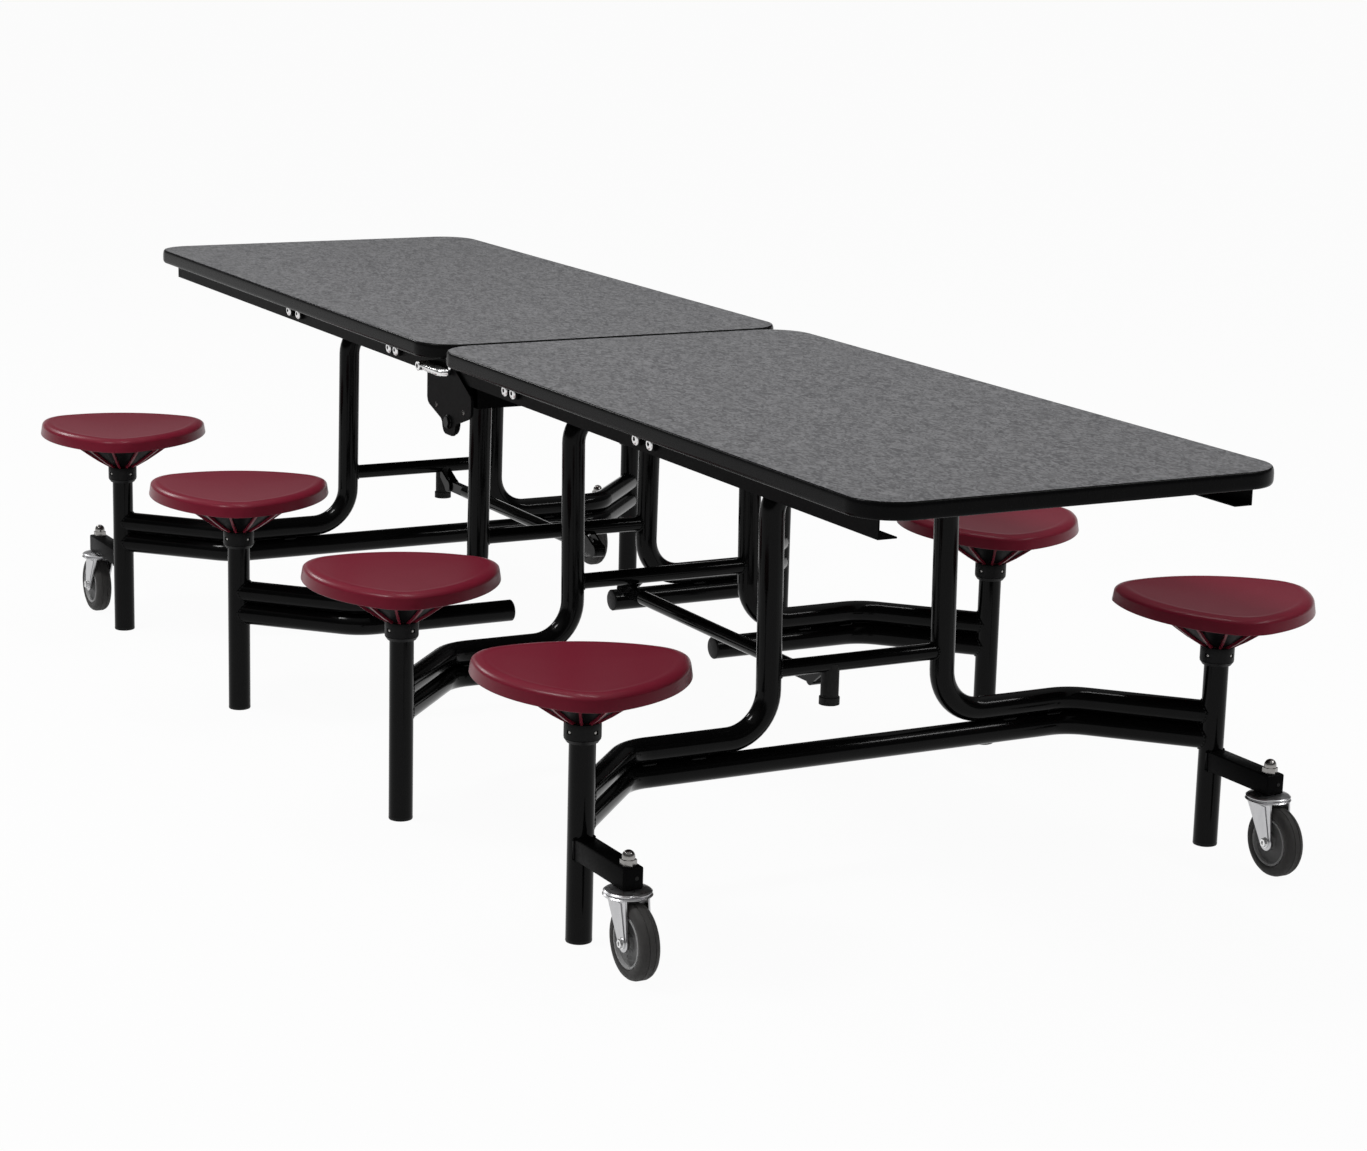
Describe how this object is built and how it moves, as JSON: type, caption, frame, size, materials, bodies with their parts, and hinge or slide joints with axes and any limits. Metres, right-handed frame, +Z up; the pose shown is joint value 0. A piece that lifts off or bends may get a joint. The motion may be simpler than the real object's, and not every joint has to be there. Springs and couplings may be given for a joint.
{
  "type": "folding table with attached swivel stools",
  "caption": "Long folding dining table on casters: two laminate top halves over a centre hinge, tube leg frames, and swivel stools carried on arms along both sides.",
  "frame": {"origin": "on the floor under the middle of the table", "axes": "+X along the table to the near end, +Y across the table, +Z up"},
  "size_m": [2.972, 1.513, 0.737],
  "materials": {
    "black_frame": "gloss black powder coat",
    "black_plastic": "black moulded plastic, semi-gloss",
    "black_rubber": "black rubber",
    "bright_metal": "bright plated steel",
    "board": "sealed fibreboard, dark underside",
    "laminate": "grey mottled laminate",
    "seat": "burgundy moulded plastic with fine texture",
    "zinc": "zinc-plated pressed steel",
    "grey_rubber": "grey rubber tyre on a grey hub"
  },
  "bodies": {
    "near_end_frame": {"near_end_leg_tube": "black_frame", "near_end_lower_tube": "black_frame", "near_end_cross_tube": "black_frame", "near_end_posts": "black_frame", "near_end_post_fittings": "black_plastic", "near_end_stop": "black_rubber", "near_end_caster_arms": "black_frame", "near_end_kingpins": "bright_metal"},
    "near_inner_frame": {"near_inner_leg_tube": "black_frame", "near_inner_lower_tubes": "black_frame", "near_inner_cross_tube": "black_frame", "near_inner_posts": "black_frame", "near_inner_post_fittings": "black_plastic"},
    "near_top": {"near_board": "board", "near_laminate": "laminate", "near_edge_band": "black_plastic", "near_underframe": "black_frame", "near_pivot_clamps": "black_frame", "near_hinge_plates": "black_frame", "near_bolts": "bright_metal", "hinge_pins": "bright_metal"},
    "near_brace": {"near_brace": "black_frame"},
    "far_end_frame": {"far_end_leg_tube": "black_frame", "far_end_lower_tube": "black_frame", "far_end_cross_tube": "black_frame", "far_end_posts": "black_frame", "far_end_post_fittings": "black_plastic", "far_end_stop": "black_rubber", "far_end_caster_arms": "black_frame", "far_end_kingpins": "bright_metal"},
    "far_inner_frame": {"far_inner_leg_tube": "black_frame", "far_inner_lower_tubes": "black_frame", "far_inner_cross_tube": "black_frame", "far_inner_posts": "black_frame", "far_inner_post_fittings": "black_plastic"},
    "far_top": {"far_board": "board", "far_laminate": "laminate", "far_edge_band": "black_plastic", "far_underframe": "black_frame", "far_pivot_clamps": "black_frame", "far_hinge_plates": "black_frame", "far_bolts": "bright_metal"},
    "far_brace": {"far_brace": "black_frame"},
    "release_lever": {"release_lever": "bright_metal"},
    "near_end_left_seat": {"near_end_left_seat": "seat"},
    "near_end_right_seat": {"near_end_right_seat": "seat"},
    "near_inner_left_seat": {"near_inner_left_seat": "seat"},
    "near_inner_right_seat": {"near_inner_right_seat": "seat"},
    "near_left_caster_fork": {"near_left_caster_fork": "zinc"},
    "near_left_caster_wheel": {"near_left_caster_wheel": "grey_rubber"},
    "near_right_caster_fork": {"near_right_caster_fork": "zinc"},
    "near_right_caster_wheel": {"near_right_caster_wheel": "grey_rubber"},
    "far_end_left_seat": {"far_end_left_seat": "seat"},
    "far_end_right_seat": {"far_end_right_seat": "seat"},
    "far_inner_left_seat": {"far_inner_left_seat": "seat"},
    "far_inner_right_seat": {"far_inner_right_seat": "seat"},
    "far_left_caster_fork": {"far_left_caster_fork": "zinc"},
    "far_left_caster_wheel": {"far_left_caster_wheel": "grey_rubber"},
    "far_right_caster_fork": {"far_right_caster_fork": "zinc"},
    "far_right_caster_wheel": {"far_right_caster_wheel": "grey_rubber"}
  },
  "joints": [
    {"name": "near_end_left_swivel", "type": "hinge", "parent": "near_end_frame", "child": "near_end_left_seat", "pos_m": [1.056, -0.589, 0.432], "axis": [0, 0, 1], "continuous": true},
    {"name": "near_end_right_swivel", "type": "hinge", "parent": "near_end_frame", "child": "near_end_right_seat", "pos_m": [1.056, 0.589, 0.432], "axis": [0, 0, 1], "continuous": true},
    {"name": "near_inner_left_swivel", "type": "hinge", "parent": "near_inner_frame", "child": "near_inner_left_seat", "pos_m": [0.383, -0.589, 0.432], "axis": [0, 0, 1], "continuous": true},
    {"name": "near_inner_right_swivel", "type": "hinge", "parent": "near_inner_frame", "child": "near_inner_right_seat", "pos_m": [0.383, 0.589, 0.432], "axis": [0, 0, 1], "continuous": true},
    {"name": "near_left_caster_swivel", "type": "hinge", "parent": "near_end_frame", "child": "near_left_caster_fork", "pos_m": [1.211, -0.589, 0.12], "axis": [0, 0, 1], "continuous": true},
    {"name": "near_left_wheel_spin", "type": "hinge", "parent": "near_left_caster_fork", "child": "near_left_caster_wheel", "pos_m": [1.236, -0.589, 0.058], "axis": [0, 1, 0], "continuous": true},
    {"name": "near_right_caster_swivel", "type": "hinge", "parent": "near_end_frame", "child": "near_right_caster_fork", "pos_m": [1.211, 0.589, 0.12], "axis": [0, 0, 1], "continuous": true},
    {"name": "near_right_wheel_spin", "type": "hinge", "parent": "near_right_caster_fork", "child": "near_right_caster_wheel", "pos_m": [1.236, 0.589, 0.058], "axis": [0, 1, 0], "continuous": true},
    {"name": "far_end_left_swivel", "type": "hinge", "parent": "far_end_frame", "child": "far_end_left_seat", "pos_m": [-1.056, -0.589, 0.432], "axis": [0, 0, 1], "continuous": true},
    {"name": "far_end_right_swivel", "type": "hinge", "parent": "far_end_frame", "child": "far_end_right_seat", "pos_m": [-1.056, 0.589, 0.432], "axis": [0, 0, 1], "continuous": true},
    {"name": "far_inner_left_swivel", "type": "hinge", "parent": "far_inner_frame", "child": "far_inner_left_seat", "pos_m": [-0.383, -0.589, 0.432], "axis": [0, 0, 1], "continuous": true},
    {"name": "far_inner_right_swivel", "type": "hinge", "parent": "far_inner_frame", "child": "far_inner_right_seat", "pos_m": [-0.383, 0.589, 0.432], "axis": [0, 0, 1], "continuous": true},
    {"name": "far_left_caster_swivel", "type": "hinge", "parent": "far_end_frame", "child": "far_left_caster_fork", "pos_m": [-1.211, -0.589, 0.12], "axis": [0, 0, 1], "continuous": true},
    {"name": "far_left_wheel_spin", "type": "hinge", "parent": "far_left_caster_fork", "child": "far_left_caster_wheel", "pos_m": [-1.236, -0.589, 0.058], "axis": [0, 1, 0], "continuous": true},
    {"name": "far_right_caster_swivel", "type": "hinge", "parent": "far_end_frame", "child": "far_right_caster_fork", "pos_m": [-1.211, 0.589, 0.12], "axis": [0, 0, 1], "continuous": true},
    {"name": "far_right_wheel_spin", "type": "hinge", "parent": "far_right_caster_fork", "child": "far_right_caster_wheel", "pos_m": [-1.236, 0.589, 0.058], "axis": [0, 1, 0], "continuous": true},
    {"name": "fold", "type": "hinge", "parent": "near_end_frame", "child": "near_top", "pos_m": [0.866, 0, 0.64], "axis": [0, 1, 0], "range_deg": [0, 90]},
    {"name": "near_inner_pivot", "type": "hinge", "parent": "near_top", "child": "near_inner_frame", "pos_m": [0.193, 0, 0.64], "axis": [0, 1, 0], "range_deg": [-90, 0]},
    {"name": "centre_hinge", "type": "hinge", "parent": "near_top", "child": "far_top", "pos_m": [0, 0, 0.6], "axis": [0, 1, 0], "range_deg": [-180, 0]},
    {"name": "far_end_pivot", "type": "hinge", "parent": "far_top", "child": "far_end_frame", "pos_m": [-0.866, 0, 0.64], "axis": [0, 1, 0], "range_deg": [0, 90]},
    {"name": "far_inner_pivot", "type": "hinge", "parent": "far_top", "child": "far_inner_frame", "pos_m": [-0.193, 0, 0.64], "axis": [0, 1, 0], "range_deg": [0, 90]},
    {"name": "near_brace_pivot", "type": "hinge", "parent": "near_end_frame", "child": "near_brace", "pos_m": [0.828, -0.05, 0.3], "axis": [0, 1, 0], "range_deg": [0, 90]},
    {"name": "far_brace_pivot", "type": "hinge", "parent": "far_end_frame", "child": "far_brace", "pos_m": [-0.828, 0.05, 0.3], "axis": [0, 1, 0], "range_deg": [-90, 0]},
    {"name": "release_lever_pull", "type": "hinge", "parent": "far_top", "child": "release_lever", "pos_m": [-0.084, -0.335, 0.69], "axis": [0, 1, 0], "range_deg": [0, 25]}
  ],
  "couplings": [
    {"joint": "near_inner_pivot", "follows": "fold", "ratio": -1},
    {"joint": "centre_hinge", "follows": "fold", "ratio": -2},
    {"joint": "far_end_pivot", "follows": "fold", "ratio": 1},
    {"joint": "far_inner_pivot", "follows": "fold", "ratio": 1},
    {"joint": "near_brace_pivot", "follows": "fold", "ratio": 1},
    {"joint": "far_brace_pivot", "follows": "fold", "ratio": -1}
  ]
}
